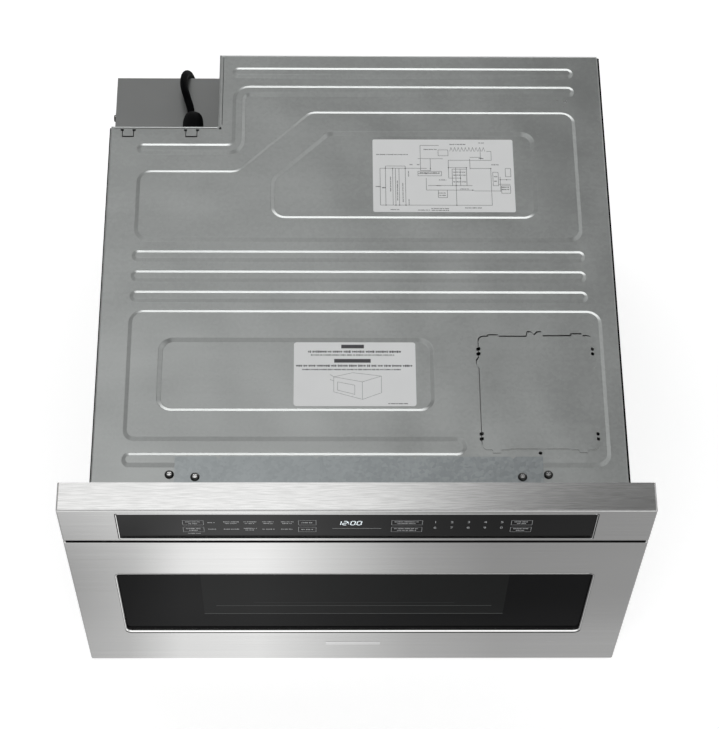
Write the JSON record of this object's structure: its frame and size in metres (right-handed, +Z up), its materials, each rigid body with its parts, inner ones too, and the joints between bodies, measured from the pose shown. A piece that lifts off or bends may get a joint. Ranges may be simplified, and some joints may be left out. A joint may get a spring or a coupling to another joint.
{
  "type": "microwave drawer",
  "caption": "Built-in microwave drawer: stainless front with touch control strip and window, motor-driven basket on slides, galvanised cabinet and mains lead.",
  "frame": {"origin": "middle of the base of the object without its mains lead, on the surface it stands on", "axes": "+X to the right as seen from the front, +Y to the back, +Z up; the drawer opens towards -Y"},
  "size_m": [0.6064, 0.7578, 0.3955],
  "materials": {
    "galvanised_steel": "galvanised sheet, fine spangle",
    "spangled_steel": "galvanised sheet, coarse spangle",
    "stainless_front": "brushed along X",
    "frame_steel": "zinc plated",
    "cavity_steel": "satin stainless",
    "screen_steel": "perforated, dark",
    "slide_steel": "bright zinc",
    "motor_steel": "plated can",
    "core_iron": "varnished laminations",
    "blade_aluminium": "rolled",
    "screw_steel": "zinc plated, bright",
    "badge_chrome": "polished",
    "black_glass": "gloss, printed black at the back",
    "tray_glass": "clear, ground edge",
    "lamp_glass": "clear bulb in a plated box",
    "display_window": "gloss",
    "black_plastic": "fine moulded grain",
    "white_plastic": "natural nylon",
    "red_plastic": "moulded",
    "board_green": "circuit board",
    "label_paper": "printed film",
    "cord_rubber": "black, satin"
  },
  "bodies": {
    "cabinet": {"base_plate": "galvanised_steel", "left_side_panel": "galvanised_steel", "right_side_panel": "galvanised_steel", "rear_panel": "galvanised_steel", "top_cover": "galvanised_steel", "access_cover": "galvanised_steel", "cord_recess_pan": "galvanised_steel", "case_screws": "screw_steel", "front_frame": "frame_steel", "control_support_bracket": "spangled_steel", "oven_cavity": "cavity_steel", "cavity_supports": "galvanised_steel", "stirrer_cover": "white_plastic", "stirrer_motor": "motor_steel", "oven_lamp": "lamp_glass", "waveguide": "galvanised_steel", "magnetron": "blade_aluminium", "hv_transformer": "core_iron", "hv_capacitor": "blade_aluminium", "cooling_fan_housing": "black_plastic", "cooling_fan_motor": "motor_steel", "noise_filter_board": "board_green", "slide_outer_members": "slide_steel", "drive_motor": "motor_steel", "motor_bracket": "galvanised_steel", "interlock_switch": "black_plastic", "switch_bracket": "frame_steel", "control_fascia": "stainless_front", "control_glass": "black_glass", "control_chassis": "black_plastic", "display_module": "display_window", "control_board": "board_green", "top_labels": "label_paper", "strain_relief": "cord_rubber", "power_cord": "cord_rubber", "cord_coil": "cord_rubber", "cord_tie": "black_plastic", "mains_plug": "cord_rubber"},
    "drawer": {"drawer_front": "stainless_front", "window_glass": "black_glass", "window_spacer": "black_plastic", "window_screen": "screen_steel", "door_inner_panel": "frame_steel", "choke_cover": "black_plastic", "badge_plate": "badge_chrome", "drawer_basket": "cavity_steel", "glass_tray": "tray_glass", "slide_inner_members": "slide_steel", "carriage_rails": "frame_steel", "drive_rack": "white_plastic", "switch_striker": "white_plastic"},
    "slide_middle_left": {"slide_middle_left": "slide_steel"},
    "slide_middle_right": {"slide_middle_right": "slide_steel"},
    "drive_pinion": {"drive_pinion": "white_plastic"},
    "fan_impeller": {"fan_impeller": "black_plastic"},
    "stirrer_fan": {"stirrer_fan": "blade_aluminium"},
    "switch_plunger": {"switch_plunger": "red_plastic"}
  },
  "joints": [
    {"name": "drawer_slide", "type": "slide", "parent": "cabinet", "child": "drawer", "axis": [0, -1, 0], "range_m": [0, 0.38]},
    {"name": "left_slide", "type": "slide", "parent": "cabinet", "child": "slide_middle_left", "axis": [0, -1, 0], "range_m": [0, 0.19]},
    {"name": "right_slide", "type": "slide", "parent": "cabinet", "child": "slide_middle_right", "axis": [0, -1, 0], "range_m": [0, 0.19]},
    {"name": "pinion_spin", "type": "hinge", "parent": "cabinet", "child": "drive_pinion", "pos_m": [0.2535, -0.2328, 0.02995], "axis": [1, 0, 0], "range_deg": [0, 1745]},
    {"name": "fan_spin", "type": "hinge", "parent": "cabinet", "child": "fan_impeller", "pos_m": [0.212, 0.2752, 0.2], "axis": [0, 1, 0], "continuous": true},
    {"name": "stirrer_spin", "type": "hinge", "parent": "cabinet", "child": "stirrer_fan", "pos_m": [0.0035, -0.0453, 0.272], "axis": [0, 0, 1], "continuous": true},
    {"name": "switch_press", "type": "slide", "parent": "cabinet", "child": "switch_plunger", "axis": [0, 1, 0], "range_m": [0, 0.0015], "stiffness_N_per_m": 300, "springref_m": -0.001}
  ],
  "couplings": [
    {"joint": "left_slide", "follows": "drawer_slide", "ratio": 0.5},
    {"joint": "right_slide", "follows": "drawer_slide", "ratio": 0.5},
    {"joint": "pinion_spin", "follows": "drawer_slide", "rad_per_m": 80}
  ]
}
